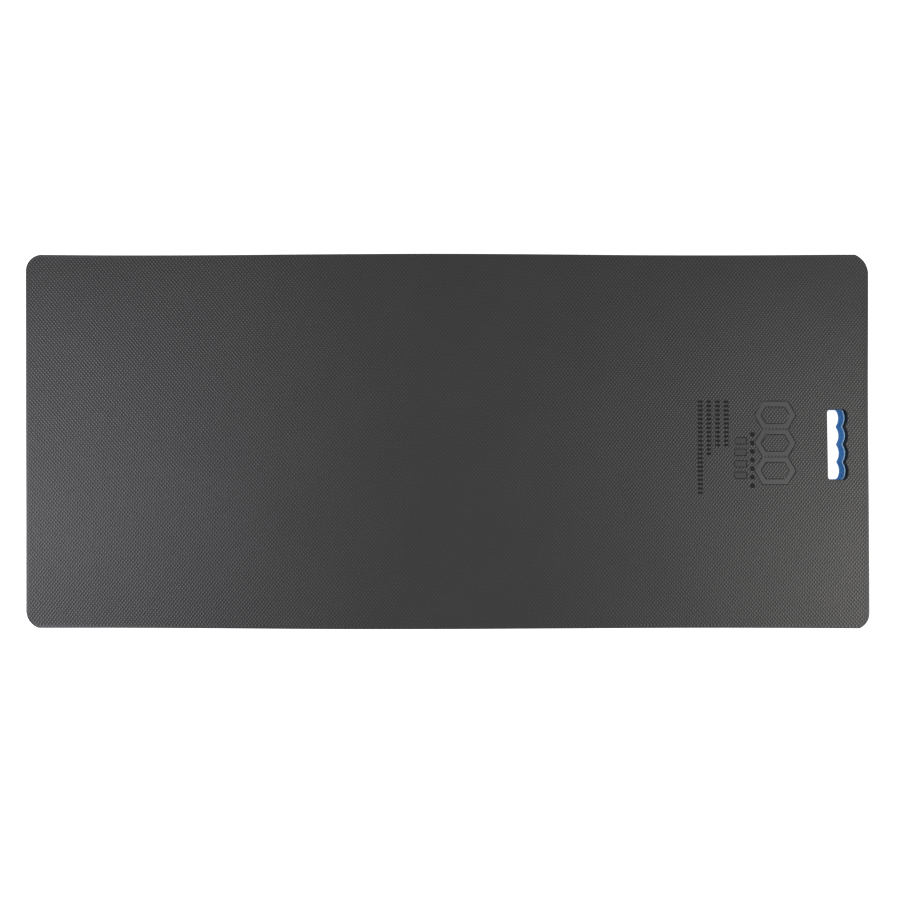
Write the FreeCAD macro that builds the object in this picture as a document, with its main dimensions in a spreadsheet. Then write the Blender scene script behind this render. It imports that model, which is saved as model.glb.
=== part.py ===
import FreeCAD, Part
import os
import Sketcher

# A large kneeling pad: two foam plies bonded face to face, with a hand slot through one end.
# The charcoal top ply has a rolled rim and a shallow debossed mark. The thicker blue ply is the
# cushion. +X runs along the length, towards the hand slot. +Z is up, and the origin is the middle
# of the face that lies on the ground. Lengths are in millimetres and angles in degrees.

SIZES = {
    # Outline, shared by every ply
    "pad_length": 1200.0,
    "pad_width": 533.0,
    "corner_radius": 22.0,
    # Thickness of each ply
    "cushion_thickness": 19.8,
    "bond_thickness": 0.2,
    "cover_thickness": 10.0,
    # Rims
    "cover_rim_radius": 2.0,
    "cushion_rim_radius": 1.5,
    # Hand slot, measured in its own frame: its cusp line, its middle and its tilt
    "slot_cusp_from_end": 33.8,
    "slot_middle_y": -4.0,
    "slot_tilt": 0.9,
    "slot_depth": 25.0,
    "slot_above_middle": 50.0,
    "slot_below_middle": 50.6,
    "finger_pitch": 25.5,
    "finger_depth": 4.2,
    "cusp_radius": 3.0,
    "palm_corner_radius": 5.0,
    "finger_corner_radius": 4.5,
    # The bond stands a little proud of both plies, along the scalloped side of the slot only
    "bond_ledge": 0.9,
    # Debossed mark on the top face: three hexagon rings, a row of dots, and rows of plain bars
    "mark_depth": 0.8,
    "ring_x": 466.8,
    "ring_first_y": 37.5,
    "ring_pitch": 39.5,
    "ring_reach": 20.5,
    "ring_hole_reach": 11.5,
    "ring_stretch": 6.5,
    "dot_x": 434.0,
    "dot_first_y": 10.3,
    "dot_pitch": 12.2,
    "dot_radius": 3.4,
    "bar_x": 417.5,
    "bar_first_y": 1.0,
    "bar_pitch": 16.4,
    "bar_length": 18.0,
    "bar_width": 10.0,
    "dash_x": 359.8,
    "dash_row_pitch": 12.3,
    "dash_first_y": 57.0,
    "dash_pitch": 6.2,
    "dash_length": 7.0,
    "dash_width": 3.2,
}

FINGERS = 4
RINGS = 3
DOTS = 7
BARS = 4
DASHES_IN_ROW = (22, 13, 11, 11)

# Sketcher's numbers for the sketch's own origin point, and for the points of a line or an arc
ORIGIN = (-1, 1)
START, END, CENTRE = 1, 2, 3


def add_sheet(doc):
    """The spreadsheet of driving dimensions, one row for each, with its alias."""
    sheet = doc.addObject("Spreadsheet::Sheet", "Sizes")
    for row, (alias, value) in enumerate(SIZES.items(), start=1):
        sheet.set(f"A{row}", alias.replace("_", " "))
        sheet.set(f"B{row}", str(value))
        sheet.setAlias(f"B{row}", alias)
    doc.recompute()
    return sheet


def add_body(doc, label, height):
    """An empty body whose underside stands at the height that the expression gives."""
    body = doc.addObject("PartDesign::Body", label)
    body.Label = label
    body.setExpression("Placement.Base.z", height)
    return body


def add_sketch(body, name, x="0", y="0", z="0", tilt="0"):
    """A sketch parallel to the body's XY plane, its origin and turn bound to expressions."""
    sketch = body.newObject("Sketcher::SketchObject", name)
    plane = next(item for item in body.Origin.OriginFeatures if item.Role == "XY_Plane")
    sketch.AttachmentSupport = [(plane, "")]
    sketch.MapMode = "FlatFace"
    sketch.setExpression("AttachmentOffset.Base.x", x)
    sketch.setExpression("AttachmentOffset.Base.y", y)
    sketch.setExpression("AttachmentOffset.Base.z", z)
    sketch.setExpression("AttachmentOffset.Rotation.Angle", tilt)
    return sketch


def add_size(sketch, kind, places, expression):
    """A dimensional constraint whose value follows an expression."""
    value = float(sketch.evalExpression(expression))
    index = sketch.addConstraint(Sketcher.Constraint(kind, *places, value))
    sketch.setExpression(f"Constraints[{index}]", expression)


def add_polygon(sketch, points):
    """A closed chain of lines through the points, joined at their ends."""
    vectors = [FreeCAD.Vector(x, y, 0) for x, y in points]
    lines = []
    for start, end in zip(vectors, vectors[1:] + vectors[:1]):
        lines.append(sketch.addGeometry(Part.LineSegment(start, end), False))
    for line, following in zip(lines, lines[1:] + lines[:1]):
        sketch.addConstraint(Sketcher.Constraint("Coincident", line, END, following, START))
    return lines


def add_rectangle(sketch, length, width):
    """A rectangle centred on the sketch's origin, length along X and width along Y."""
    south, east, north, west = add_polygon(sketch, [(-9, -4), (9, -4), (9, 4), (-9, 4)])
    for line in (south, north):
        sketch.addConstraint(Sketcher.Constraint("Horizontal", line))
    for line in (east, west):
        sketch.addConstraint(Sketcher.Constraint("Vertical", line))
    sketch.addConstraint(Sketcher.Constraint("Symmetric", south, START, north, START, *ORIGIN))
    add_size(sketch, "DistanceX", (south, START, south, END), length)
    add_size(sketch, "DistanceY", (east, START, east, END), width)


def add_hexagon(sketch, reach, stretch):
    """A hexagon on the sketch's origin: two sides along X, a point at each end of X."""
    points = [(-9, -16), (9, -16), (22, 0), (9, 16), (-9, 16), (-22, 0)]
    south, _, east, north, _, west = add_polygon(sketch, points)
    half_side = f"({reach}) * tan(30 deg) + {stretch}"
    for line in (south, north):
        sketch.addConstraint(Sketcher.Constraint("Horizontal", line))
    sketch.addConstraint(Sketcher.Constraint("Symmetric", south, START, north, START, *ORIGIN))
    sketch.addConstraint(Sketcher.Constraint("Equal", south, north))
    sketch.addConstraint(Sketcher.Constraint("PointOnObject", east, START, -1))
    sketch.addConstraint(Sketcher.Constraint("PointOnObject", west, START, -1))
    add_size(sketch, "DistanceX", (south, START, south, END), f"2 * ({half_side})")
    add_size(sketch, "DistanceY", (*ORIGIN, north, START), reach)
    add_size(sketch, "DistanceX", (*ORIGIN, east, START), f"2 * ({reach}) * tan(30 deg) + {stretch}")
    add_size(sketch, "DistanceX", (west, START, *ORIGIN), f"2 * ({reach}) * tan(30 deg) + {stretch}")


def add_pad(body, sketch, name, thickness):
    pad = body.newObject("PartDesign::Pad", name)
    pad.Profile = sketch
    pad.setExpression("Length", thickness)
    body.Tip = pad
    return pad


def add_pocket(body, sketch, name, depth=None):
    """A pocket that runs up through everything, or down into the top face by the depth."""
    pocket = body.newObject("PartDesign::Pocket", name)
    pocket.Profile = sketch
    if depth is None:
        pocket.Type = "ThroughAll"
        pocket.Reversed = True
    else:
        pocket.setExpression("Length", depth)
    body.Tip = pocket
    return pocket


def add_row(body, pocket, sketch, name, count, pitch):
    """Repeats a pocket along -Y of its sketch."""
    row = body.newObject("PartDesign::LinearPattern", name)
    row.Originals = [pocket]
    row.Direction = (sketch, ["V_Axis"])
    row.Reversed = True
    row.Occurrences = count
    row.setExpression("Length", f"{pitch} * {count - 1}")
    body.Tip = row
    return row


def add_fillet(doc, body, name, radius, chosen):
    """Rounds the edges of the body's latest feature that the function chosen accepts."""
    doc.recompute()
    base = body.Tip
    edges = [f"Edge{i}" for i, edge in enumerate(base.Shape.Edges, start=1) if chosen(edge)]
    if not edges:
        raise RuntimeError(f"{body.Label}: no edges for {name}")
    fillet = body.newObject("PartDesign::Fillet", name)
    fillet.Base = (base, edges)
    fillet.setExpression("Radius", radius)
    body.Tip = fillet
    return fillet


def is_upright(edge):
    box = edge.BoundBox
    return box.ZLength > 0.05 and box.XLength < 1e-4 and box.YLength < 1e-4


def corner_edge(edge):
    """True on an upright edge at a corner of the plain rectangular block."""
    return is_upright(edge) and abs(edge.BoundBox.Center.x) > SIZES["pad_length"] / 2 - 1


def outer_rim_edge(height):
    """A test for the edges of the outline that lie at this height in the body."""

    def chosen(edge):
        box = edge.BoundBox
        level = abs(box.ZMin - height) < 1e-4 and abs(box.ZMax - height) < 1e-4
        beside = abs(box.Center.y) > SIZES["pad_width"] / 2 - SIZES["corner_radius"]
        beyond = abs(box.Center.x) > SIZES["pad_length"] / 2 - SIZES["corner_radius"]
        return level and (beside or beyond)

    return chosen


def slot_edge(low_x, high_x, low_y=-1e3, high_y=1e3):
    """A test for the upright edges in part of the slot, given in the slot's own frame."""
    cusp_x = SIZES["pad_length"] / 2 - SIZES["slot_cusp_from_end"]
    origin = FreeCAD.Vector(cusp_x, SIZES["slot_middle_y"], 0)
    untilt = FreeCAD.Rotation(FreeCAD.Vector(0, 0, 1), -SIZES["slot_tilt"])

    def chosen(edge):
        if not is_upright(edge):
            return False
        place = untilt.multVec(edge.BoundBox.Center - origin)
        return low_x < place.x < high_x and low_y < abs(place.y) < high_y

    return chosen


def cut_slot(doc, body, ledge):
    """Cuts the hand slot, its scalloped side standing in by the ledge."""
    sketch = add_sketch(
        body,
        f"{body.Label}_slot_outline",
        x="Sizes.pad_length / 2 - Sizes.slot_cusp_from_end",
        y="Sizes.slot_middle_y",
        tilt="Sizes.slot_tilt",
    )
    pitch, depth = SIZES["finger_pitch"], SIZES["finger_depth"]
    arc_radius = (pitch**2 / 4 + depth**2) / (2 * depth)
    radius_text = "(Sizes.finger_pitch^2 / 4 + Sizes.finger_depth^2) / (2 * Sizes.finger_depth)"
    top, bottom = SIZES["slot_above_middle"], -SIZES["slot_below_middle"]
    palm_x = -SIZES["slot_depth"]
    middles = [(i - (FINGERS - 1) / 2) * pitch for i in range(FINGERS)]

    arcs = []
    for place, middle in enumerate(middles):
        centre = FreeCAD.Vector(depth - arc_radius, middle, 0)
        circle = Part.Circle(centre, FreeCAD.Vector(0, 0, 1), arc_radius)
        reach = FreeCAD.Vector(0, pitch / 2, 0)
        low = circle.parameter(FreeCAD.Vector(0, middle, 0) - reach)
        high = circle.parameter(FreeCAD.Vector(0, middle, 0) + reach)
        arc = sketch.addGeometry(Part.ArcOfCircle(circle, low, high), False)
        arcs.append(arc)
        inward = f"{radius_text} - Sizes.finger_depth + {ledge}"
        add_size(sketch, "Radius", (arc,), radius_text)
        add_size(sketch, "DistanceX", (arc, CENTRE, *ORIGIN), inward)
        steps = place - (FINGERS - 1) / 2
        if steps < 0:
            add_size(sketch, "DistanceY", (arc, CENTRE, *ORIGIN), f"{-steps} * Sizes.finger_pitch")
        else:
            add_size(sketch, "DistanceY", (*ORIGIN, arc, CENTRE), f"{steps} * Sizes.finger_pitch")
    for lower, upper in zip(arcs, arcs[1:]):
        sketch.addConstraint(Sketcher.Constraint("Coincident", lower, END, upper, START))

    corners = [(1, top), (palm_x, top), (palm_x, bottom), (1, bottom)]
    vectors = [FreeCAD.Vector(x, y, 0) for x, y in corners]
    north, palm, south = (
        sketch.addGeometry(Part.LineSegment(start, end), False)
        for start, end in zip(vectors, vectors[1:])
    )
    sketch.addConstraint(Sketcher.Constraint("Coincident", arcs[-1], END, north, START))
    sketch.addConstraint(Sketcher.Constraint("Coincident", north, END, palm, START))
    sketch.addConstraint(Sketcher.Constraint("Coincident", palm, END, south, START))
    sketch.addConstraint(Sketcher.Constraint("Coincident", south, END, arcs[0], START))
    sketch.addConstraint(Sketcher.Constraint("Horizontal", north))
    sketch.addConstraint(Sketcher.Constraint("Horizontal", south))
    sketch.addConstraint(Sketcher.Constraint("Vertical", palm))
    add_size(sketch, "DistanceX", (palm, START, *ORIGIN), "Sizes.slot_depth")
    add_size(sketch, "DistanceY", (*ORIGIN, palm, START), "Sizes.slot_above_middle")
    add_size(sketch, "DistanceY", (palm, END, *ORIGIN), "Sizes.slot_below_middle")
    add_pocket(body, sketch, f"{body.Label}_slot")

    end_zone = SIZES["slot_above_middle"] - 3
    cusps = slot_edge(-3, 3, high_y=end_zone)
    palm_corners = slot_edge(palm_x - 1, palm_x + 2, low_y=end_zone)
    finger_corners = slot_edge(-3, 6, low_y=end_zone)
    add_fillet(doc, body, f"{body.Label}_cusps", "Sizes.cusp_radius", cusps)
    add_fillet(doc, body, f"{body.Label}_palm_ends", "Sizes.palm_corner_radius", palm_corners)
    add_fillet(doc, body, f"{body.Label}_finger_ends", "Sizes.finger_corner_radius", finger_corners)


def add_ply(doc, label, height, thickness, ledge):
    """One ply of the pad: its outline with rounded corners, and the hand slot."""
    body = add_body(doc, label, height)
    outline = add_sketch(body, f"{label}_outline")
    add_rectangle(outline, "Sizes.pad_length", "Sizes.pad_width")
    add_pad(body, outline, f"{label}_sheet", thickness)
    add_fillet(doc, body, f"{label}_corners", "Sizes.corner_radius", corner_edge)
    cut_slot(doc, body, ledge)
    return body


def add_mark_row(body, name, draw, x, y, count, pitch):
    """One kind of debossed shape, drawn once and repeated down the face along -Y."""
    sketch = add_sketch(body, f"{name}_outline", x, y, "Sizes.cover_thickness")
    draw(sketch)
    pocket = add_pocket(body, sketch, f"{name}_first", "Sizes.mark_depth")
    add_row(body, pocket, sketch, f"{name}_row", count, pitch)


def draw_ring(sketch):
    add_hexagon(sketch, "Sizes.ring_reach", "Sizes.ring_stretch")
    add_hexagon(sketch, "Sizes.ring_hole_reach", "Sizes.ring_stretch")


def draw_dot(sketch):
    circle = Part.Circle(FreeCAD.Vector(0, 0, 0), FreeCAD.Vector(0, 0, 1), 2.0)
    dot = sketch.addGeometry(circle, False)
    sketch.addConstraint(Sketcher.Constraint("Coincident", dot, CENTRE, *ORIGIN))
    add_size(sketch, "Radius", (dot,), "Sizes.dot_radius")


def draw_bar(sketch):
    add_rectangle(sketch, "Sizes.bar_length", "Sizes.bar_width")


def draw_dash(sketch):
    add_rectangle(sketch, "Sizes.dash_length", "Sizes.dash_width")


def add_mark(body):
    """The shallow debossed mark: plain geometric shapes in columns beside the slot."""
    add_mark_row(
        body, "rings", draw_ring, "Sizes.ring_x", "Sizes.ring_first_y", RINGS, "Sizes.ring_pitch"
    )
    add_mark_row(
        body, "dots", draw_dot, "Sizes.dot_x", "Sizes.dot_first_y", DOTS, "Sizes.dot_pitch"
    )
    add_mark_row(
        body, "bars", draw_bar, "Sizes.bar_x", "Sizes.bar_first_y", BARS, "Sizes.bar_pitch"
    )
    for place, count in enumerate(DASHES_IN_ROW):
        row_x = f"Sizes.dash_x + {place} * Sizes.dash_row_pitch"
        name = f"dashes_{place + 1}"
        add_mark_row(body, name, draw_dash, row_x, "Sizes.dash_first_y", count, "Sizes.dash_pitch")


def make_cushion(doc):
    """The thick blue ply that lies on the ground."""
    body = add_ply(doc, "cushion_ply", "0", "Sizes.cushion_thickness", "0")
    rim = outer_rim_edge(0)
    add_fillet(doc, body, "cushion_ply_rim", "Sizes.cushion_rim_radius", rim)
    return body


def make_bond(doc):
    """The thin bond between the two plies."""
    height = "Sizes.cushion_thickness"
    return add_ply(doc, "bond_layer", height, "Sizes.bond_thickness", "Sizes.bond_ledge")


def make_cover(doc):
    """The charcoal ply that is knelt on, with its rolled rim and debossed mark."""
    height = "Sizes.cushion_thickness + Sizes.bond_thickness"
    body = add_ply(doc, "cover_ply", height, "Sizes.cover_thickness", "0")
    rim = outer_rim_edge(SIZES["cover_thickness"])
    add_fillet(doc, body, "cover_ply_rim", "Sizes.cover_rim_radius", rim)
    add_mark(body)
    return body


def check(doc, bodies):
    """Stops if any object failed to build, or if a ply isn't one valid solid."""
    for item in doc.Objects:
        if "Invalid" in item.State or "Error" in item.State:
            raise RuntimeError(f"{item.Name} is {item.State}")
    for body in bodies:
        shape = body.Shape
        if shape.isNull() or not shape.isValid() or len(shape.Solids) != 1:
            raise RuntimeError(f"{body.Label} is not one valid solid")


def main():
    doc = FreeCAD.newDocument("kneeling_pad")
    add_sheet(doc)
    bodies = [make_cushion(doc), make_bond(doc), make_cover(doc)]
    doc.recompute()
    check(doc, bodies)
    os.makedirs("parts", exist_ok=True)
    for body in bodies:
        print(body.Label, round(body.Shape.Volume), "mm3")
        body.Shape.exportStep(f"parts/{body.Label}.step")


main()
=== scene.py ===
import math

import bpy
import numpy as np
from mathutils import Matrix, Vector
from mathutils.geometry import delaunay_2d_cdt


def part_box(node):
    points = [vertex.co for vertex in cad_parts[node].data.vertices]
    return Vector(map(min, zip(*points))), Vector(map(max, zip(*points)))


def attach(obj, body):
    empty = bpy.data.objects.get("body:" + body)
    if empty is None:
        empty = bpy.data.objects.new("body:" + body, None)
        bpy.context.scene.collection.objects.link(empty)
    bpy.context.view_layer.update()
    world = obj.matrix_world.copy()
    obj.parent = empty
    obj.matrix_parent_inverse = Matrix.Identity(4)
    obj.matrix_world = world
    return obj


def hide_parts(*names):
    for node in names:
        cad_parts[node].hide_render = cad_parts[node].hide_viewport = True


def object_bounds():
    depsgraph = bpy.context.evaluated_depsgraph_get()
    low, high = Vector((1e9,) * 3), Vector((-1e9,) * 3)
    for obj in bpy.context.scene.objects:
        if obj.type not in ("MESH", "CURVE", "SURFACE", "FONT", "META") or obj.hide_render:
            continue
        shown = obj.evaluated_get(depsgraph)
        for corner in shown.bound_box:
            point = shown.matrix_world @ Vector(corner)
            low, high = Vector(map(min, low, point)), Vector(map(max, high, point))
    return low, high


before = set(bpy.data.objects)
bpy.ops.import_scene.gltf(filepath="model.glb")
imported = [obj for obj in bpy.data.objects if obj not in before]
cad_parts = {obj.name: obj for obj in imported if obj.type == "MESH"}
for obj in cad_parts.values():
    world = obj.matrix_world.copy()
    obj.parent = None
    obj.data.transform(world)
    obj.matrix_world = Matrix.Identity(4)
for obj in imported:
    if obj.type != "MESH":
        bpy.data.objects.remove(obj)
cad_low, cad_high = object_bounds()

# A kneeling pad of two bonded foam plies. The plan is drawn in millimetres, in the frame's own
# X and Y, and every mesh is scaled to metres at the end. The outer sizes and the heights of the
# plies come from the frame, and the details below are in millimetres and degrees.

MM = 0.001


def level(node, end):
    """The height of a node's underside (end 0) or top (end 1), in millimetres."""
    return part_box(node)[end].z / MM


LENGTH = (cad_high.x - cad_low.x) / MM
WIDTH = (cad_high.y - cad_low.y) / MM
GROUND = level("cushion_ply", 0)
CUSHION_TOP = level("cushion_ply", 1)
COVER_BASE = level("cover_ply", 0)
COVER_TOP = level("cover_ply", 1)

# The radius and sweep of each corner: front left, front right, back right, back left. They are
# cut by hand, so an arc runs smoothly into the short end and meets the long side at an angle.
CORNERS = ((26.0, 72.0), (24.5, 64.0), (31.0, 68.0), (24.0, 80.0))
OUTLINE_STEP, OUTLINE_ARC_STEP = 6.0, 2.9

# Hand slot, in its own frame: its cusp line is Y, and the palm side is on its left
SLOT_CUSP_FROM_END = 33.8
SLOT_MIDDLE_Y = -4.0
SLOT_TILT = 0.9
SLOT_DEPTH = 25.0
SLOT_ABOVE = 50.0
SLOT_BELOW = 50.6
FINGERS = 4
FINGER_PITCH = 25.5
FINGER_DEPTH = 4.2
CUSP_RADIUS = 3.0
PALM_CORNER_RADIUS = 5.0
FINGER_CORNER_RADIUS = 4.5
SLOT_ARC_STEP, SLOT_STEP = 1.2, 2.6

# The bond stands proud on the slot's scalloped side, and a little back at the outline
BOND_LEDGE = 1.4
BOND_INSET = 0.15

# Embossed diamonds of the top face
DIAMOND_LONG = 6.05
DIAMOND_SHORT = 4.9
DIAMOND_TURN = 1.6
DIAMOND_DEPTH = 0.65

# How pale the skin is, from 0 for black to 2: on a peak, in a pit, on the rims and in the mark.
# Pits are painted darker, as shade, and peaks paler, as wear
PEAK_RELIEF, PIT_RELIEF, RIM_RELIEF = 0.8, 0.4, 0.6
RING_RELIEF, SMALL_MARK_RELIEF = 1.35, 0.8

# A debossed shape has a groove round its floor, painted dark as shade: how far in and how deep,
# from outside in
MARK_MARGIN = 0.3
GROOVE = ((0.0, 0.6), (0.5, 0.9), (0.95, 0.7))

# Debossed mark: columns of plain shapes, each column running down from its first shape
RING_X, RING_FIRST_Y, RING_PITCH, RINGS = 466.8, 37.5, 39.5, 3
RING_REACH, RING_HOLE_REACH, RING_STRETCH = 20.5, 11.5, 6.5
RING_CORNER_RADIUS, RING_HOLE_CORNER_RADIUS = 2.0, 1.0
DOT_X, DOT_FIRST_Y, DOT_PITCH, DOTS, DOT_RADIUS = 434.0, 10.3, 12.2, 7, 3.4
DOT_POINTS = 14
BAR_X, BAR_FIRST_Y, BAR_PITCH, BARS, BAR_SIZE = 417.5, 1.0, 16.4, 4, (18.0, 10.0)
DASH_X, DASH_FIRST_Y, DASH_PITCH, DASH_SIZE = 359.8, 57.0, 6.2, (7.0, 3.2)
DASH_ROW_PITCH = 12.3
DASHES_IN_ROW = (22, 13, 11, 11)
SMALL_CORNER = (1.1, 90.0)
SMALL_STEP, SMALL_ARC_STEP = 20.0, 0.9

# Rims and walls
COVER_RIM = 2.0
CUSHION_RIM = 1.5
SLOT_RIM = 0.6


# ---------------------------------------------------------------------------------------------
# Plan outlines. A loop is its points and, at each, the direction away from the foam's inside.


def turned(points, degrees):
    """The points turned about the origin, anticlockwise from above."""
    c, s = math.cos(math.radians(degrees)), math.sin(math.radians(degrees))
    return points @ np.array([[c, s], [-s, c]])


def arc(centre, radius, start, end, step):
    """Points and outward directions along an arc, without its last point."""
    count = max(2, math.ceil(abs(math.radians(end - start)) * radius / step))
    angles = np.radians(np.linspace(start, end, count, endpoint=False))
    out = np.column_stack((np.cos(angles), np.sin(angles)))
    return np.array(centre) + radius * out, out


def straight(start, end, step):
    """Points along a line from start, without end, and the directions to their right."""
    start, end = np.array(start, float), np.array(end, float)
    run = np.linalg.norm(end - start)
    count = max(1, round(run / step))
    along = (end - start) / run
    ratios = np.linspace(0, 1, count, endpoint=False)[:, None]
    points = start + ratios * (end - start)
    return points, np.tile((along[1], -along[0]), (count, 1))


def joined(pieces):
    """One loop from pieces that follow each other."""
    return tuple(np.vstack(part) for part in zip(*pieces))


def corner_reach(corner):
    """How far a corner's arc reaches along the long side, and along the short end."""
    radius, sweep = corner
    turn = math.radians(sweep)
    return radius * (1 - math.cos(turn)), radius * math.sin(turn)


def rectangle_loop(length, width, corners, step, arc_step):
    """A rectangle round the origin with rounded corners, anticlockwise."""
    x, y = length / 2, width / 2
    (ra, ta), (rb, tb), (rc, tc), (rd, td) = corners
    (ax, ay), (bx, by), (cx, cy), (dx, dy) = map(corner_reach, corners)
    return joined(
        [
            straight((-x + ax, -y), (x - bx, -y), step),
            arc((x - rb, -y + by), rb, -tb, 0, arc_step),
            straight((x, -y + by), (x, y - cy), step),
            arc((x - rc, y - cy), rc, 0, tc, arc_step),
            straight((x - cx, y), (-x + dx, y), step),
            arc((-x + rd, y - dy), rd, 180 - td, 180, arc_step),
            straight((-x, y - dy), (-x, -y + ay), step),
            arc((-x + ra, -y + ay), ra, 180, 180 + ta, arc_step),
        ]
    )


def slot_loop(ledge):
    """The hand slot, its scalloped side in by the ledge, with its directions into the foam."""
    half = FINGER_PITCH / 2
    radius = (half**2 + FINGER_DEPTH**2) / (2 * FINGER_DEPTH)
    finger_x = FINGER_DEPTH - radius - ledge
    cusp = CUSP_RADIUS
    top, bottom = SLOT_ABOVE, -SLOT_BELOW
    palm_x = -SLOT_DEPTH
    palm_r, end_r = PALM_CORNER_RADIUS, FINGER_CORNER_RADIUS
    first_y = -(FINGERS - 1) * half
    last_y = -first_y
    fine, coarse = SLOT_ARC_STEP, SLOT_STEP

    def end_arc(edge_y, finger_y, side):
        """Centre of the round between a slot end and the finger arc beside it."""
        rise = abs(edge_y - side * end_r - finger_y)
        return finger_x + math.sqrt((radius - end_r) ** 2 - rise**2), rise

    low_x, low_rise = end_arc(bottom, first_y, -1)
    high_x, high_rise = end_arc(top, last_y, 1)
    low_turn = math.degrees(math.atan2(low_rise, low_x - finger_x))
    high_turn = math.degrees(math.atan2(high_rise, high_x - finger_x))
    cusp_turn = math.degrees(math.asin(half / (radius + cusp)))
    cusp_x = finger_x + math.sqrt((radius + cusp) ** 2 - half**2)

    pieces = [
        arc((palm_x + palm_r, bottom + palm_r), palm_r, 180, 270, fine),
        straight((palm_x + palm_r, bottom), (low_x, bottom), coarse),
        arc((low_x, bottom + end_r), end_r, -90, -low_turn, fine),
    ]
    for finger in range(FINGERS):
        finger_y = first_y + finger * FINGER_PITCH
        start = -low_turn if finger == 0 else -cusp_turn
        end = high_turn if finger == FINGERS - 1 else cusp_turn
        pieces.append(arc((finger_x, finger_y), radius, start, end, fine))
        if finger < FINGERS - 1:
            centre = (cusp_x, finger_y + half)
            points, out = arc(centre, cusp, 180 + cusp_turn, 180 - cusp_turn, fine)
            pieces.append((points, -out))
    pieces += [
        arc((high_x, top - end_r), end_r, high_turn, 90, fine),
        straight((high_x, top), (palm_x + palm_r, top), coarse),
        arc((palm_x + palm_r, top - palm_r), palm_r, 90, 180, fine),
        straight((palm_x, top - palm_r), (palm_x, bottom + palm_r), coarse),
    ]
    points, out = joined(pieces)
    place = (LENGTH / 2 - SLOT_CUSP_FROM_END, SLOT_MIDDLE_Y)
    return turned(points, SLOT_TILT) + place, turned(out, SLOT_TILT)


def hexagon_loop(reach, stretch, radius):
    """A hexagon with rounded corners, pointed at each end of X, its sides along X stretched."""
    half = reach - radius
    side = half / math.sqrt(3)
    corners = [
        (side + stretch, -half, -90, -30),
        (2 * side + stretch, 0, -30, 30),
        (side + stretch, half, 30, 90),
        (-side - stretch, half, 90, 150),
        (-2 * side - stretch, 0, 150, 210),
        (-side - stretch, -half, 210, 270),
    ]
    pieces = []
    for x, y, start, end in corners:
        angles = np.radians(np.linspace(start, end, 4))
        out = np.column_stack((np.cos(angles), np.sin(angles)))
        pieces.append((np.array((x, y)) + radius * out, out))
    return joined(pieces)


def moved(loop, x, y):
    """The loop shifted by x and y."""
    return loop[0] + (x, y), loop[1]


def column(loop, x, first_y, pitch, count):
    """Copies of the loop down a column, from its first place."""
    return [moved(loop, x, first_y - place * pitch) for place in range(count)]


def circle_loop(radius, count):
    """A circle of this many points round the origin."""
    angles = np.radians(np.linspace(0, 360, count, endpoint=False))
    out = np.column_stack((np.cos(angles), np.sin(angles)))
    return radius * out, out


def small_rectangle_loop(size):
    """A bar or a dash round the origin."""
    return rectangle_loop(*size, (SMALL_CORNER,) * 4, SMALL_STEP, SMALL_ARC_STEP)


def ring_column(reach, radius):
    """The outer or the inner edges of the rings."""
    loop = hexagon_loop(reach, RING_STRETCH, radius)
    return column(loop, RING_X, RING_FIRST_Y, RING_PITCH, RINGS)


OUTLINE = rectangle_loop(LENGTH, WIDTH, CORNERS, OUTLINE_STEP, OUTLINE_ARC_STEP)
PLY_SLOT = slot_loop(0)
BOND_SLOT = slot_loop(BOND_LEDGE)
RING_OUTERS = ring_column(RING_REACH, RING_CORNER_RADIUS)
RING_INNERS = ring_column(RING_HOLE_REACH, RING_HOLE_CORNER_RADIUS)
SMALL_MARKS = column(
    circle_loop(DOT_RADIUS, DOT_POINTS), DOT_X, DOT_FIRST_Y, DOT_PITCH, DOTS
)
SMALL_MARKS += column(small_rectangle_loop(BAR_SIZE), BAR_X, BAR_FIRST_Y, BAR_PITCH, BARS)
for row, dashes in enumerate(DASHES_IN_ROW):
    row_x = DASH_X + row * DASH_ROW_PITCH
    dash = small_rectangle_loop(DASH_SIZE)
    SMALL_MARKS += column(dash, row_x, DASH_FIRST_Y, DASH_PITCH, dashes)


def offset(loop, distance):
    """The loop's points moved along its directions."""
    return loop[0] + distance * loop[1]


def outline_distance(points):
    """How far inside the pad's rounded outline each point is."""
    room = (np.array((LENGTH, WIDTH)) / 2 - np.abs(points)).min(axis=1)
    for corner, (side, end) in zip(CORNERS, ((-1, -1), (1, -1), (1, 1), (-1, 1))):
        radius = corner[0]
        centre = (LENGTH / 2 - radius, WIDTH / 2 - corner_reach(corner)[1])
        beyond = points * (side, end) - centre
        here = (beyond > 0).all(axis=1)
        arc_room = radius - np.linalg.norm(beyond[here], axis=1)
        room[here] = np.minimum(room[here], arc_room)
    return room


def inside_loop(points, loop):
    """True for the points inside a closed chain of points."""
    x, y = points[:, 0:1], points[:, 1:2]
    ax, ay = loop[:, 0], loop[:, 1]
    bx, by = np.roll(ax, -1), np.roll(ay, -1)
    rise = np.where(by == ay, 1e-12, by - ay)
    crosses = ((ay > y) != (by > y)) & (x < ax + (y - ay) * (bx - ax) / rise)
    return crosses.sum(axis=1) % 2 == 1


def near_loop(points, loop, reach):
    """True for the points within reach of a closed chain of points."""
    start = loop[None]
    run = np.roll(loop, -1, axis=0)[None] - start
    away = points[:, None] - start
    share = np.clip((away * run).sum(2) / np.maximum((run**2).sum(2), 1e-12), 0, 1)
    return (np.linalg.norm(away - share[..., None] * run, axis=2) < reach).any(axis=1)


# ---------------------------------------------------------------------------------------------
# Mesh building


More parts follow.
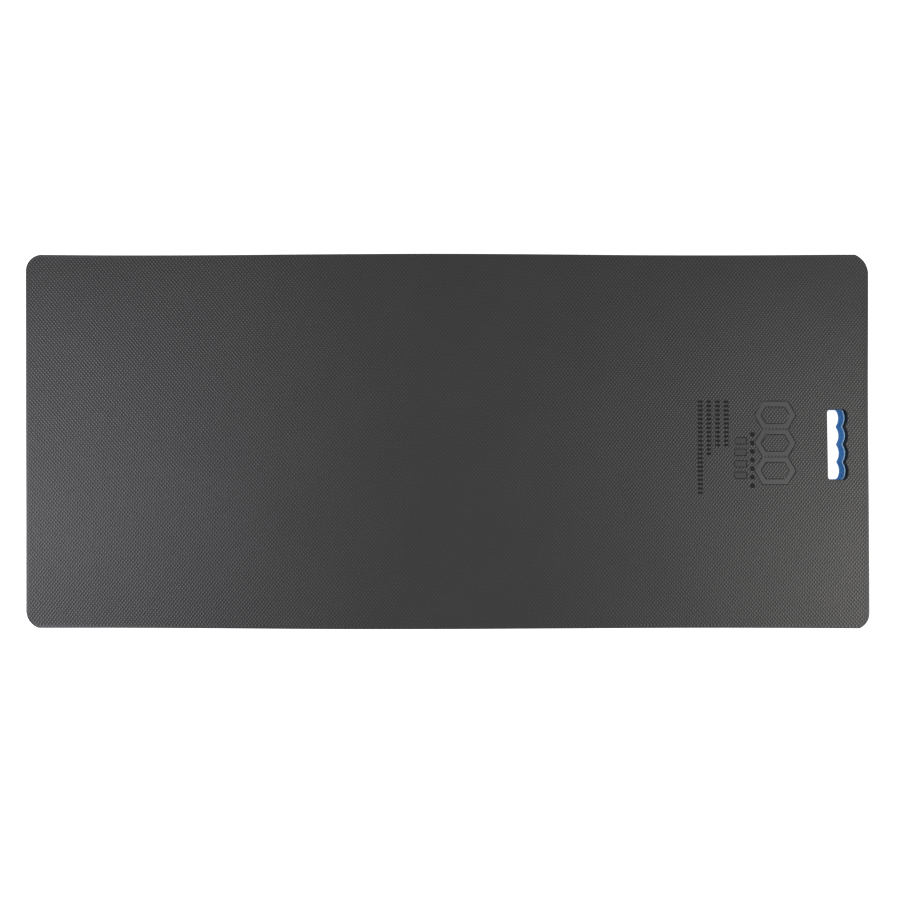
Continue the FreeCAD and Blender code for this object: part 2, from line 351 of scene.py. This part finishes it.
class Sheet:
    """Vertices in millimetres and faces, gathered part by part and made into one piece.

    A finish is the place of a face's material in the piece.
    """

    def __init__(self):
        self.points = []
        self.faces = []
        self.smooth = []
        self.finish = []
        self.relief = []
        self.count = 0

    def add_points(self, plan, height, relief=1.0):
        """Adds points of the plan at one height or several, and returns their numbers."""
        plan = np.asarray(plan, float).reshape(-1, 2)
        heights = np.broadcast_to(height, len(plan))
        self.points.append(np.column_stack((plan, heights)))
        self.relief.append(np.broadcast_to(relief, len(plan)))
        first = self.count
        self.count += len(plan)
        return np.arange(first, self.count)

    def add_faces(self, faces, smooth=True, finish=0):
        """Adds faces given by the numbers of their corners."""
        self.faces += [list(map(int, face)) for face in faces]
        self.smooth += [smooth] * len(faces)
        self.finish += [finish] * len(faces)

    def strip(self, upper, lower, finish=0, flip=False, smooth=True):
        """Faces between two rings of the same number of points."""
        faces = np.column_stack((upper, lower, np.roll(lower, -1), np.roll(upper, -1)))
        self.add_faces(faces[:, ::-1] if flip else faces, smooth, finish)

    def rings(self, loop, profile, finish=0, flip=False, first=None, relief=1.0):
        """Rings at each (offset, height) of a profile, joined by strips. Returns the last."""
        ring = first
        for distance, height in profile:
            following = self.add_points(offset(loop, distance), height, relief)
            if ring is not None:
                self.strip(ring, following, finish, flip)
            ring = following
        return ring

    def stitch(self, dense, places, ring, finish=0, flip=False):
        """Faces between a ring and a denser chain whose points have places along it."""
        faces, i, j = [], 0, 0
        ends = np.append(places[1:], len(ring))
        while i < len(dense) or j < len(ring):
            here, there = dense[i % len(dense)], ring[j % len(ring)]
            if i < len(dense) and (j >= len(ring) or ends[i] <= j + 1):
                faces.append((here, there, dense[(i + 1) % len(dense)]))
                i += 1
            else:
                faces.append((here, there, ring[(j + 1) % len(ring)]))
                j += 1
        if flip:
            faces = [face[::-1] for face in faces]
        self.add_faces(faces, True, finish)

    def cap(self, outer, outer_plan, inner, inner_plan, finish=0, flip=False):
        """A flat face between an outer ring and a hole's ring, as triangles."""
        plan = np.vstack((outer_plan, inner_plan))
        numbers = np.concatenate((outer, inner))
        edges = chain_edges(0, len(outer)) + chain_edges(len(outer), len(inner))
        _, _, faces, origins, _, _ = delaunay_2d_cdt(
            [Vector(p) for p in plan], edges, [], 0, 1e-4
        )
        corners = np.array([[origins[corner][0] for corner in face] for face in faces])
        middles = plan[corners].mean(axis=1)
        kept = inside_loop(middles, outer_plan) & ~inside_loop(middles, inner_plan)
        triangles = numbers[corners[kept]]
        self.add_faces(triangles[:, ::-1] if flip else triangles, True, finish)

    def piece(self, name, node, materials):
        """The Blender object, riding on the root body in place of its CAD node."""
        points = settled(np.vstack(self.points))
        mesh = bpy.data.meshes.new(name)
        mesh.from_pydata((points * MM).tolist(), [], self.faces)
        mesh.polygons.foreach_set("use_smooth", self.smooth)
        mesh.polygons.foreach_set("material_index", self.finish)
        relief = mesh.attributes.new("relief", "FLOAT", "POINT")
        relief.data.foreach_set("value", np.concatenate(self.relief))
        for material in materials:
            mesh.materials.append(material)
        mesh.validate()
        mesh.update()
        made = bpy.data.objects.new(name, mesh)
        bpy.context.scene.collection.objects.link(made)
        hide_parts(node)
        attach(made, "root")
        return made


def chain_edges(first, count):
    """The edges of a closed chain of points numbered from first."""
    return [(first + i, first + (i + 1) % count) for i in range(count)]


def settled(points):
    """Foam is never cut quite straight or quite flat: the edges bow and the top face dips.

    The long edges bow in waves. The end by the slot flares at its front corner and is drawn in
    behind its middle. All of it is in millimetres, and the dips fade out towards the ground.
    """
    x, y, z = points.T
    back = 1.15 * np.cos(2 * math.pi * (x + 20) / 800)
    front = 1.0 * np.cos(2 * math.pi * (x + 67) / 900)
    bow = np.where(y > 0, back, -front) * np.abs(y) / (WIDTH / 2)
    flare = 1.15 * np.clip(-y / 190, 0, 1) - 0.5 * np.exp(-(((y - 70) / 90) ** 2))
    lean = -0.0014 * y + np.clip((x - LENGTH / 2) / 25 + 1, 0, 1) * flare
    dip = 0.25 * np.sin(x / 97 + 0.6) * np.cos(y / 83 - 0.4)
    dip += 0.2 * np.sin(x / 61 - y / 140 + 2.1) + 0.1 * np.cos(x / 31 + y / 37)
    share = (z - GROUND) / (COVER_TOP - GROUND)
    return np.column_stack((x + lean, y + bow, z + (dip - 0.3) * share))


# ---------------------------------------------------------------------------------------------
# Embossed diamonds. Cell (i, j) has its peak at twice-numbers (2i, 2j), and its corners at the
# odd numbers round them.


def lattice_place(numbers):
    """The plan position of lattice points given by their twice-numbers."""
    a, b = numbers[:, 0], numbers[:, 1]
    plan = np.column_stack((DIAMOND_SHORT * (a + b) / 4, DIAMOND_LONG * (a - b) / 4))
    return turned(plan, DIAMOND_TURN)


def lattice_numbers(points):
    """The cell coordinates, not rounded, of plan positions."""
    plan = turned(points, -DIAMOND_TURN)
    x, y = plan[:, 0] / DIAMOND_SHORT, plan[:, 1] / DIAMOND_LONG
    return np.column_stack((x + y, x - y))


def diamond_drop(points):
    """How far below its peak the diamond's face is at each point, from 0 to 1."""
    cell = lattice_numbers(points)
    return 2 * np.abs(cell - np.round(cell)).max(axis=1)


def emboss_drop(points):
    """The embossing, from 0 on a peak to 1 in a pit at full depth.

    It is shallow within a few millimetres of the rim and the ends, and fades by up to a quarter
    towards the end with the slot.
    """
    room = outline_distance(points) - COVER_RIM
    end_room = LENGTH / 2 - np.abs(points[:, 0]) - COVER_RIM
    strength = np.minimum(0.3 + room / 3.5, 0.15 + end_room / 7)
    slot_fade = 1 - 0.25 * np.clip((points[:, 0] - 260) / 300, 0, 1)
    return np.clip(strength, 0.1, 1) * slot_fade * diamond_drop(points)


CELL_CORNERS = np.array([(-1, -1), (-1, 1), (1, 1), (1, -1)])
KEY_SPAN = 10000


def all_cells():
    """The cells whose peaks lie over the pad's bounding box, with a margin."""
    half = np.array((LENGTH, WIDTH)) / 2 + 10
    span = int(max(half[0] / DIAMOND_SHORT, half[1] / DIAMOND_LONG) * 2) + 4
    grid = np.arange(-span, span + 1)
    cells = np.array(np.meshgrid(grid, grid)).reshape(2, -1).T
    return cells[(np.abs(lattice_place(2 * cells)) < half).all(axis=1)]


def number_key(numbers):
    """One whole number that stands for each pair of lattice numbers."""
    high, low = (numbers + KEY_SPAN // 2).astype(np.int64).T
    return high * KEY_SPAN + low


def odd_inside(points, loops):
    """True for the points inside an odd number of the loops."""
    odd = np.zeros(len(points), bool)
    for loop in loops:
        low, high = loop.min(axis=0), loop.max(axis=0)
        close = np.flatnonzero(((points > low) & (points < high)).all(axis=1))
        odd[close] ^= inside_loop(points[close], loop)
    return odd


def sort_cells(cells, loops):
    """The cells that lie whole on the foam, and those that an edge cuts."""
    spare = 0.15
    reach = DIAMOND_LONG / 2 + spare
    peaks = lattice_place(2 * cells)
    room = outline_distance(peaks) - COVER_RIM
    cells, peaks, room = (values[room > -reach] for values in (cells, peaks, room))
    cut = room < reach
    for loop in loops[1:]:
        low, high = loop.min(axis=0) - reach, loop.max(axis=0) + reach
        close = np.flatnonzero(((peaks > low) & (peaks < high)).all(axis=1))
        cut[close] |= near_loop(peaks[close], loop, reach)
    whole = ~cut
    whole[whole] = ~odd_inside(peaks[whole], loops[1:])
    return cells[whole], cells[cut]


def cell_parts(cells):
    """Five rows of lattice points: the cells' peaks, then their corners in order."""
    return np.stack([2 * cells] + [2 * cells + corner for corner in CELL_CORNERS])


def sides(parts):
    """The four (peak, corner, next corner) triangles of every cell."""
    peak, corners = parts[0], parts[1:]
    pairs = zip(corners, np.roll(corners, -1, axis=0))
    return np.vstack([np.column_stack((peak, one, other)) for one, other in pairs])


def emboss(sheet, loops):
    """Covers the face inside the first loop and outside the others with diamonds.

    A loop inside another turns the face back on. Whole diamonds are four triangles each, and
    those that an edge cuts are triangulated together with the loops. Returns, for each loop,
    the numbers of the points along it and their places, counted in the loop's own points.
    """
    whole_cells, cut_cells = sort_cells(all_cells(), loops)
    cut_keys = number_key(cut_cells)
    parts = np.concatenate((cell_parts(whole_cells), cell_parts(cut_cells)), axis=1)
    _, firsts, where = np.unique(
        number_key(parts.reshape(-1, 2)), return_index=True, return_inverse=True
    )
    plan = lattice_place(parts.reshape(-1, 2)[firsts])
    where = where.reshape(5, -1)
    whole, cut = where[:, : len(whole_cells)], where[:, len(whole_cells) :]

    number = np.full(len(plan), -1)
    used = np.unique(whole)
    number[used] = add_embossed(sheet, plan[used])
    sheet.add_faces(number[sides(whole)], smooth=False)

    # The cells that an edge cuts, triangulated together with the loops
    local = np.unique(cut)
    triangles = np.searchsorted(local, sides(cut))
    edges = np.vstack((triangles[:, :2], triangles[:, 1:]))
    edges = np.unique(np.sort(edges, axis=1), axis=0).tolist()
    lattice_edges, first = len(edges), len(local)
    owners = []
    for place, loop in enumerate(loops):
        edges += chain_edges(first, len(loop))
        owners += [(place, i) for i in range(len(loop))]
        first += len(loop)
    points = np.vstack([plan[local]] + loops)
    out, out_edges, out_faces, origins, edge_origins, _ = delaunay_2d_cdt(
        [Vector(p) for p in points], edges, [], 0, 1e-3
    )
    out, triangles = np.array(out), anticlockwise(np.array(out), np.array(out_faces))
    middles = out[triangles].mean(axis=1)
    cells = np.round(lattice_numbers(middles)).astype(int)
    kept = np.isin(number_key(cells), cut_keys) & odd_inside(middles, loops)
    triangles = triangles[kept]

    # A corner that a whole cell has too is shared with it
    needed = np.unique(triangles)
    placed = np.full(len(out), -1)
    for corner in needed:
        known = [origin for origin in origins[corner] if origin < len(local)]
        if known:
            placed[corner] = number[local[known[0]]]
    needed = needed[placed[needed] < 0]
    placed[needed] = add_embossed(sheet, out[needed])
    sheet.add_faces(placed[triangles], smooth=False)

    # The points that lie along each loop
    chains = [{} for _ in loops]
    for ends, sources in zip(out_edges, edge_origins):
        for source in sources:
            if source < lattice_edges:
                continue
            place, i = owners[source - lattice_edges]
            start, side = loops[place][i], np.roll(loops[place], -1, axis=0)[i] - loops[place][i]
            for end in ends:
                share = np.dot(out[end] - start, side) / np.dot(side, side)
                chains[place][placed[end]] = round(i + share, 6) % len(loops[place])
    return [sorted_chain(chain) for chain in chains]


def add_embossed(sheet, plan):
    """Adds points of the embossed face, and returns their numbers."""
    drop = emboss_drop(plan)
    # Painted shade and wear: the deeper the point, the darker its skin, and the higher, the paler
    relief = PEAK_RELIEF + (PIT_RELIEF - PEAK_RELIEF) * drop
    return sheet.add_points(plan, COVER_TOP - DIAMOND_DEPTH * drop, relief)


def sorted_chain(chain):
    """The numbers and places of a chain's points, in order along it."""
    numbers = sorted(chain, key=chain.get)
    return np.array(numbers), np.array([chain[number] for number in numbers])


def anticlockwise(points, triangles):
    """The triangles, each turned over if it faces down."""
    first, second, third = (points[triangles[:, i]] for i in range(3))
    one, other = second - first, third - first
    down = one[:, 0] * other[:, 1] - one[:, 1] * other[:, 0] < 0
    triangles[down] = triangles[down][:, ::-1]
    return triangles


# ---------------------------------------------------------------------------------------------
# Materials

# A cell of the cut foam, in metres
CELL_SIZE = 0.0008


def node_material(name, roughness, specular):
    """A material with its shader set up, and its nodes and links."""
    material = bpy.data.materials.new(name)
    material.use_nodes = True
    nodes, links = material.node_tree.nodes, material.node_tree.links
    shader = nodes["Principled BSDF"]
    shader.inputs["Roughness"].default_value = roughness
    shader.inputs["Specular IOR Level"].default_value = specular
    return material, nodes, links, shader


def position(nodes):
    """Where on the piece the shaded point is, in metres."""
    return nodes.new("ShaderNodeTexCoord").outputs["Object"]


def noise(nodes, links, scale, detail):
    """A noise of this many cells to the metre over the piece."""
    texture = nodes.new("ShaderNodeTexNoise")
    texture.inputs["Scale"].default_value = scale
    texture.inputs["Detail"].default_value = detail
    texture.inputs["Roughness"].default_value = 0.55
    links.new(position(nodes), texture.inputs["Vector"])
    return texture.outputs["Fac"]


def between(nodes, links, value, low, high):
    """A ramp that turns a value from 0 to 1 into a colour from low to high."""
    ramp = nodes.new("ShaderNodeValToRGB")
    ramp.color_ramp.elements[0].position = 0.3
    ramp.color_ramp.elements[0].color = (*low, 1)
    ramp.color_ramp.elements[1].position = 0.7
    ramp.color_ramp.elements[1].color = (*high, 1)
    links.new(value, ramp.inputs["Fac"])
    return ramp.outputs["Color"]


def mapped(nodes, links, value, source, target):
    """A value taken in a straight line from one range to another, and held at its ends."""
    map_range = nodes.new("ShaderNodeMapRange")
    map_range.inputs["From Min"].default_value, map_range.inputs["From Max"].default_value = source
    map_range.inputs["To Min"].default_value, map_range.inputs["To Max"].default_value = target
    links.new(value, map_range.inputs["Value"])
    return map_range.outputs["Result"]


def multiplied(nodes, links, one, other):
    """Two colours multiplied."""
    mix = nodes.new("ShaderNodeMix")
    mix.data_type = "RGBA"
    mix.blend_type = "MULTIPLY"
    mix.inputs["Factor"].default_value = 1
    links.new(one, mix.inputs["A"])
    links.new(other, mix.inputs["B"])
    return mix.outputs["Result"]


def bumped(nodes, links, shader, value, depth, strength):
    """Adds a bump of this depth in metres to the shader, on top of any it has."""
    bump = nodes.new("ShaderNodeBump")
    bump.inputs["Distance"].default_value = depth
    bump.inputs["Strength"].default_value = strength
    links.new(value, bump.inputs["Height"])
    if shader.inputs["Normal"].is_linked:
        links.new(shader.inputs["Normal"].links[0].from_socket, bump.inputs["Normal"])
    links.new(bump.outputs["Normal"], shader.inputs["Normal"])


def charcoal_skin():
    """The embossed skin of the cover: near black, softly mottled, paler on the peaks as wear and
    darker in the pits as painted shade.
    """
    material, nodes, links, shader = node_material("charcoal_foam_skin", 0.48, 0.28)
    mottle = noise(nodes, links, 14, 3)
    colour = between(nodes, links, mottle, (0.0128, 0.0128, 0.0129), (0.0151, 0.015, 0.0149))
    relief = nodes.new("ShaderNodeAttribute")
    relief.attribute_name = "relief"
    # The relief paints the pits darker, as shade, and the peaks paler, as wear; the ring floors
    # paler still
    wear_and_pit_shade = mapped(nodes, links, relief.outputs["Fac"], (0, 2), (0.05, 2.85))
    links.new(multiplied(nodes, links, colour, wear_and_pit_shade), shader.inputs["Base Color"])
    bumped(nodes, links, shader, noise(nodes, links, 900, 3), 0.00006, 0.6)
    return material


def cut_foam(name, low, high):
    """A sawn or die-cut foam wall: fine open cells and a slightly uneven colour."""
    material, nodes, links, shader = node_material(name, 0.85, 0.1)
    colour = between(nodes, links, noise(nodes, links, 60, 5), low, high)
    links.new(colour, shader.inputs["Base Color"])
    cells = nodes.new("ShaderNodeTexVoronoi")
    cells.inputs["Scale"].default_value = 1 / CELL_SIZE
    links.new(position(nodes), cells.inputs["Vector"])
    bumped(nodes, links, shader, cells.outputs["Distance"], CELL_SIZE * 0.35, 0.7)
    bumped(nodes, links, shader, noise(nodes, links, 240, 3), 0.0003, 0.5)
    return material


def painted_groove_shade():
    """Painted shade: the skin in a mark's grooves, dots and dashes, coloured dark for the shade in
    these small recesses.
    """
    material, _, _, shader = node_material("charcoal_foam_painted_shade", 0.9, 0.05)
    shader.inputs["Base Color"].default_value = (0.011, 0.011, 0.0115, 1)
    return material


def bond_and_painted_highlight():
    """The adhesive film: pale blue and slightly uneven. Its pale colour is also a painted
    highlight, for light catching the top edge of the blue ply.
    """
    material, nodes, links, shader = node_material("bond_and_painted_highlight", 0.6, 0.3)
    patches = noise(nodes, links, 300, 2)
    colour = between(nodes, links, patches, (0.28, 0.5, 0.72), (0.32, 0.55, 0.77))
    links.new(colour, shader.inputs["Base Color"])
    return material


# ---------------------------------------------------------------------------------------------
# The plies

# Places of the cover's materials; the last is painted shade for the mark's grooves and pits
SKIN, WALL, PAINTED_SHADE = 0, 1, 2


def rim_profile(radius, top, start, count):
    """A quarter round from the face to the wall, from an angle past its start."""
    angles = np.radians(np.linspace(start, 90, count))
    return [(radius * (math.sin(a) - 1), top - radius * (1 - math.cos(a))) for a in angles]


def wall_profile(top, bottom, hollow, steps):
    """A wall between two heights, hollowed against the loop's directions as cut foam is."""
    shares = np.linspace(0, 1, steps + 1)
    return [
        (-hollow * math.sin(math.pi * share), top + (bottom - top) * share) for share in shares
    ]


def press_in(sheet, loop, chain, relief, outward):
    """The groove at the edge of a debossed shape, painted dark as shade. Returns the ring at the
    edge of its floor.
    """
    side = -1 if outward else 1
    ring = None
    for inset, depth in GROOVE:
        following = sheet.add_points(offset(loop, -side * inset), COVER_TOP - depth, relief)
        if ring is None:
            sheet.stitch(*chain, following, flip=not outward)
        else:
            sheet.strip(ring, following, PAINTED_SHADE, flip=not outward, smooth=False)
        ring = following
    return ring


def make_mark(sheet, chains):
    """The debossed shapes: dots, bars and dashes, then rings. Dots and dashes are painted dark all
    over, as shade in their pits.
    """
    for place, loop in enumerate(SMALL_MARKS):
        is_bar = DOTS <= place < DOTS + BARS
        edge = press_in(sheet, loop, chains.pop(0), SMALL_MARK_RELIEF, outward=False)
        sheet.add_faces([edge], smooth=False, finish=SKIN if is_bar else PAINTED_SHADE)
    for outer, inner in zip(RING_OUTERS, RING_INNERS):
        outer_edge = press_in(sheet, outer, chains.pop(0), RING_RELIEF, outward=False)
        inner_edge = press_in(sheet, inner, chains.pop(0), RING_RELIEF, outward=True)
        sheet.strip(inner_edge, outer_edge, smooth=False)


def make_cover(skin, wall, groove):
    """The charcoal ply, embossed on top, with its mark, rim and slot."""
    sheet = Sheet()
    loops = [offset(OUTLINE, -COVER_RIM), offset(PLY_SLOT, SLOT_RIM)]
    loops += [offset(loop, MARK_MARGIN) for loop in SMALL_MARKS]
    for outer, inner in zip(RING_OUTERS, RING_INNERS):
        loops += [offset(outer, MARK_MARGIN), offset(inner, -MARK_MARGIN)]
    border, slot_edge, *marks = emboss(sheet, loops)

    rim = rim_profile(COVER_RIM, COVER_TOP, 18, 5)
    first = sheet.add_points(offset(OUTLINE, rim[0][0]), rim[0][1], RIM_RELIEF)
    sheet.stitch(*border, first)
    last = sheet.rings(OUTLINE, rim[1:], SKIN, first=first, relief=RIM_RELIEF)
    wall_rings = wall_profile(rim[-1][1], COVER_BASE, 0.4, 3)
    outer = sheet.rings(OUTLINE, wall_rings[1:], WALL, first=last)

    edge = [(-distance, height) for distance, height in rim_profile(SLOT_RIM, COVER_TOP, 25, 3)]
    first = sheet.add_points(offset(PLY_SLOT, edge[0][0]), edge[0][1], RIM_RELIEF)
    sheet.stitch(*slot_edge, first, flip=True)
    last = sheet.rings(PLY_SLOT, edge[1:], SKIN, flip=True, first=first, relief=RIM_RELIEF)
    slot_rings = wall_profile(edge[-1][1], COVER_BASE, -0.3, 3)
    inner = sheet.rings(PLY_SLOT, slot_rings[1:], WALL, flip=True, first=last)
    sheet.cap(outer, OUTLINE[0], inner, PLY_SLOT[0], WALL, flip=True)
    make_mark(sheet, marks)
    return sheet.piece("cover_foam", "cover_ply", [skin, wall, groove])


def make_plain_ply(name, node, material, hole, outer_profile, inner_profile):
    """A ply with flat faces, from its wall profiles at the outline and in the hole."""
    sheet = Sheet()
    top = sheet.add_points(offset(OUTLINE, outer_profile[0][0]), outer_profile[0][1])
    hole_top = sheet.add_points(offset(hole, inner_profile[0][0]), inner_profile[0][1])
    base = sheet.rings(OUTLINE, outer_profile[1:], first=top)
    hole_base = sheet.rings(hole, inner_profile[1:], flip=True, first=hole_top)
    sheet.cap(top, OUTLINE[0], hole_top, hole[0])
    sheet.cap(base, OUTLINE[0], hole_base, hole[0], flip=True)
    return sheet.piece(name, node, [material])


def make_bond(material):
    """The pale film between the plies, which stands proud on the slot's scalloped side. Its
    paleness is partly a painted highlight.
    """
    heights = (COVER_BASE, CUSHION_TOP)
    outer = [(-BOND_INSET, height) for height in heights]
    inner = [(0.0, height) for height in heights]
    return make_plain_ply(
        "bond_film", "bond_layer", material, BOND_SLOT, outer, inner
    )


def make_cushion(material):
    """The blue ply, with soft drawn-in walls and a small round at its foot."""
    foot = [(d, 2 * GROUND - h) for d, h in rim_profile(CUSHION_RIM, GROUND, 0, 5)]
    outer = wall_profile(CUSHION_TOP, GROUND + CUSHION_RIM, 0.8, 7) + foot[::-1][1:]
    inner = wall_profile(CUSHION_TOP, GROUND, -0.5, 7)
    return make_plain_ply(
        "cushion_foam", "cushion_ply", material, PLY_SLOT, outer, inner
    )


# ---------------------------------------------------------------------------------------------
# Studio, in metres

# What the camera sees across the top face, how far above that it is, and what it is over
VIEW_WIDTH = 1.2753
VIEW_HEIGHT = 1.17
VIEW_MIDDLE = (0.0018, -0.0099)

# The floor and the sky glow white, so that they stay white from every side
FLOOR_SIZE = 200
FLOOR_GREY = 0.4
FLOOR_GLOW = 1.0
SKY_GLOW = 1.0

# The place, power in watts and colour of each softbox. Each one faces its own half of the pad.
SOFTBOXES = {
    "left_softbox": ((-1, -0.15, 0.5), 10.5, (0.94, 0.91, 1)),
    "right_softbox": ((1.18, -0.3, 0.58), 11.6, (1, 0.975, 0.95)),
    "far_left_softbox": ((-2.3, -0.3, 0.6), 11.5, (0.95, 0.96, 1)),
    "far_right_softbox": ((2.3, -0.3, 0.6), 15.5, (1, 0.98, 0.95)),
}
SOFTBOX_SIZE = 0.6
SOFTBOX_AIM = 0.2


def make_floor():
    """A wide white floor that the foam lies on."""
    bpy.ops.mesh.primitive_plane_add(size=FLOOR_SIZE, location=(0, 0, GROUND * MM))
    floor = bpy.context.object
    floor.name = "floor"
    material, _, _, shader = node_material("floor_white", 1.0, 0.0)
    shader.inputs["Base Color"].default_value = (FLOOR_GREY, FLOOR_GREY, FLOOR_GREY, 1)
    shader.inputs["Emission Color"].default_value = (1, 1, 1, 1)
    shader.inputs["Emission Strength"].default_value = FLOOR_GLOW
    material.cycles.emission_sampling = "NONE"
    floor.data.materials.append(material)


def make_softbox(name, place, power, colour):
    """A soft square light."""
    data = bpy.data.lights.new(name, "AREA")
    data.shape = "RECTANGLE"
    data.size = data.size_y = SOFTBOX_SIZE
    data.energy = power
    data.color = colour
    light = bpy.data.objects.new(name, data)
    bpy.context.scene.collection.objects.link(light)
    light.location = place
    aim = Vector((math.copysign(SOFTBOX_AIM, place[0]), 0, 0))
    light.rotation_euler = (aim - Vector(place)).to_track_quat("-Z", "Y").to_euler()


def make_camera():
    """A camera straight above, so near that the slot's far walls show."""
    data = bpy.data.cameras.new("camera")
    camera = bpy.data.objects.new("camera", data)
    bpy.context.scene.collection.objects.link(camera)
    camera.location = (*VIEW_MIDDLE, COVER_TOP * MM + VIEW_HEIGHT)
    data.sensor_width = 36
    data.lens = data.sensor_width * VIEW_HEIGHT / VIEW_WIDTH
    bpy.context.scene.camera = camera


make_camera()
make_floor()
for softbox, setting in SOFTBOXES.items():
    make_softbox(softbox, *setting)

world = bpy.data.worlds.new("studio")
world.use_nodes = True
sky = world.node_tree.nodes["Background"]
sky.inputs["Color"].default_value = (1, 1, 1, 1)
sky.inputs["Strength"].default_value = SKY_GLOW
bpy.context.scene.world = world
bpy.context.scene.view_settings.view_transform = "Standard"
# The diamonds are so fine in the main view that the denoiser would smooth them away
bpy.context.scene.cycles.use_denoising = False

# The charcoal ply's cut walls are tinted navy: a painted reflection of blue light bounced up from
# the blue ply
charcoal = cut_foam("charcoal_foam_cut_blue_bounce", (0.004, 0.0078, 0.0132), (0.006, 0.0108, 0.0172))
cover = make_cover(charcoal_skin(), charcoal, painted_groove_shade())
make_bond(bond_and_painted_highlight())
blue = cut_foam("blue_foam_cut", (0.033, 0.16, 0.385), (0.047, 0.197, 0.452))
cushion = make_cushion(blue)
